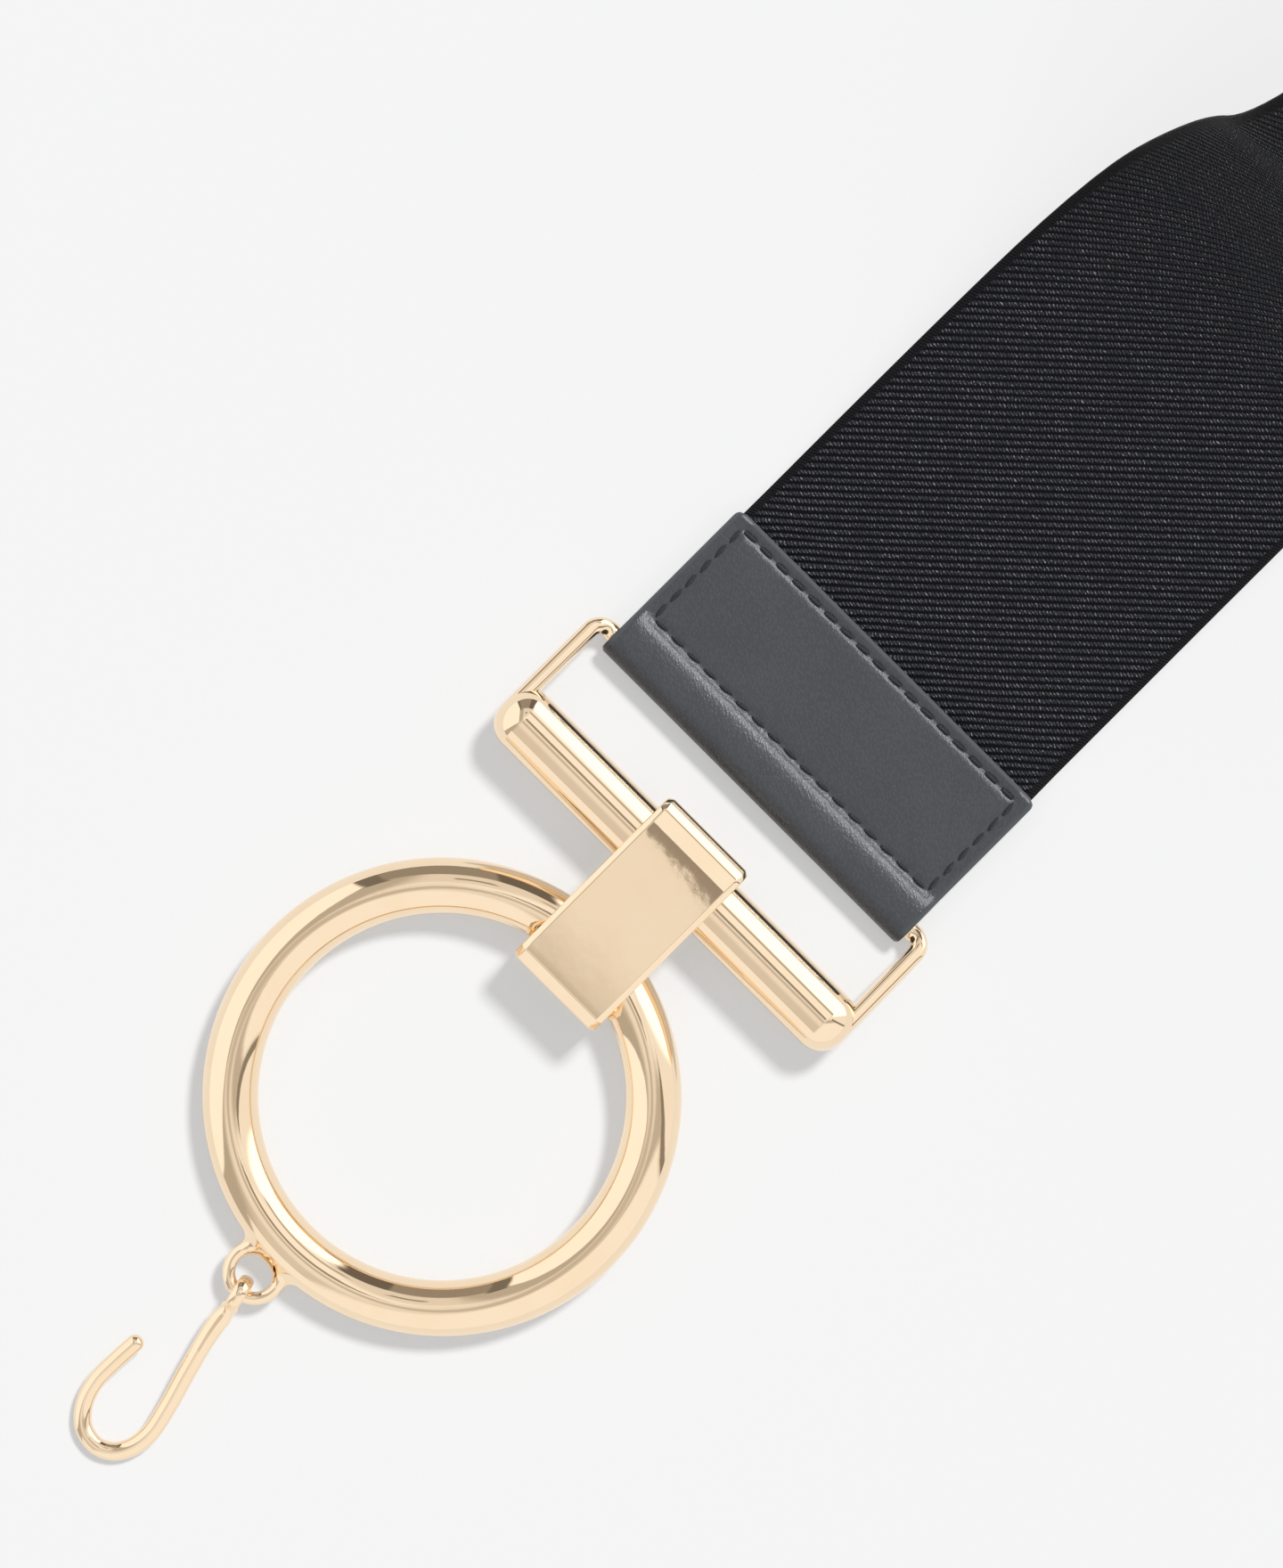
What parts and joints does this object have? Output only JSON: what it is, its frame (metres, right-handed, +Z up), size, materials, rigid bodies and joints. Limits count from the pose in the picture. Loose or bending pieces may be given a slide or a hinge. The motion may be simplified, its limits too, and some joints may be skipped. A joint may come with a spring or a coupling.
{
  "type": "stretch belt",
  "caption": "Wide black woven stretch belt with folded leather tabs, a gold buckle frame, keeper, round ring and wire hook, and a plain catch loop on its far end.",
  "frame": {"origin": "under the middle of the front leather tab, on the surface that the belt lies on", "axes": "+X along the elastic's first flat stretch, away from the hook; +Y across the belt; +Z up"},
  "size_m": [0.6699, 0.1513, 0.0773],
  "materials": {
    "elastic": "black woven elastic webbing with raised diagonal twill ribs and a plain selvedge",
    "leather": "slate grey fine pebbled leather, stitched, with painted edges",
    "gold": "mirror-polished pale gold plating"
  },
  "bodies": {
    "belt": {"elastic_band": "elastic", "front_leather_tab": "leather", "far_leather_tab": "leather", "catch_loop": "gold"},
    "frame": {"buckle_frame": "gold"},
    "keeper": {"keeper": "gold"},
    "ring": {"ring": "gold"},
    "hook": {"hook": "gold"}
  },
  "joints": [
    {"name": "frame_hinge", "type": "hinge", "parent": "belt", "child": "frame", "pos_m": [-0.0117, 0, 0.0029], "axis": [0, 1, 0], "range_deg": [-60, 90]},
    {"name": "keeper_hinge", "type": "hinge", "parent": "frame", "child": "keeper", "pos_m": [-0.03, 0, 0.0068], "axis": [0, 1, 0], "range_deg": [-75, 60]},
    {"name": "ring_turn", "type": "hinge", "parent": "keeper", "child": "ring", "pos_m": [-0.0779, 0.0006, 0.0051], "axis": [-0.0304, 0, 0.9995], "range_deg": [-120, 120]},
    {"name": "hook_hinge", "type": "hinge", "parent": "ring", "child": "hook", "pos_m": [-0.11956, 0.00126, 0.00367], "axis": [0.2164, -0.9763, 0], "range_deg": [-120, 120]}
  ]
}
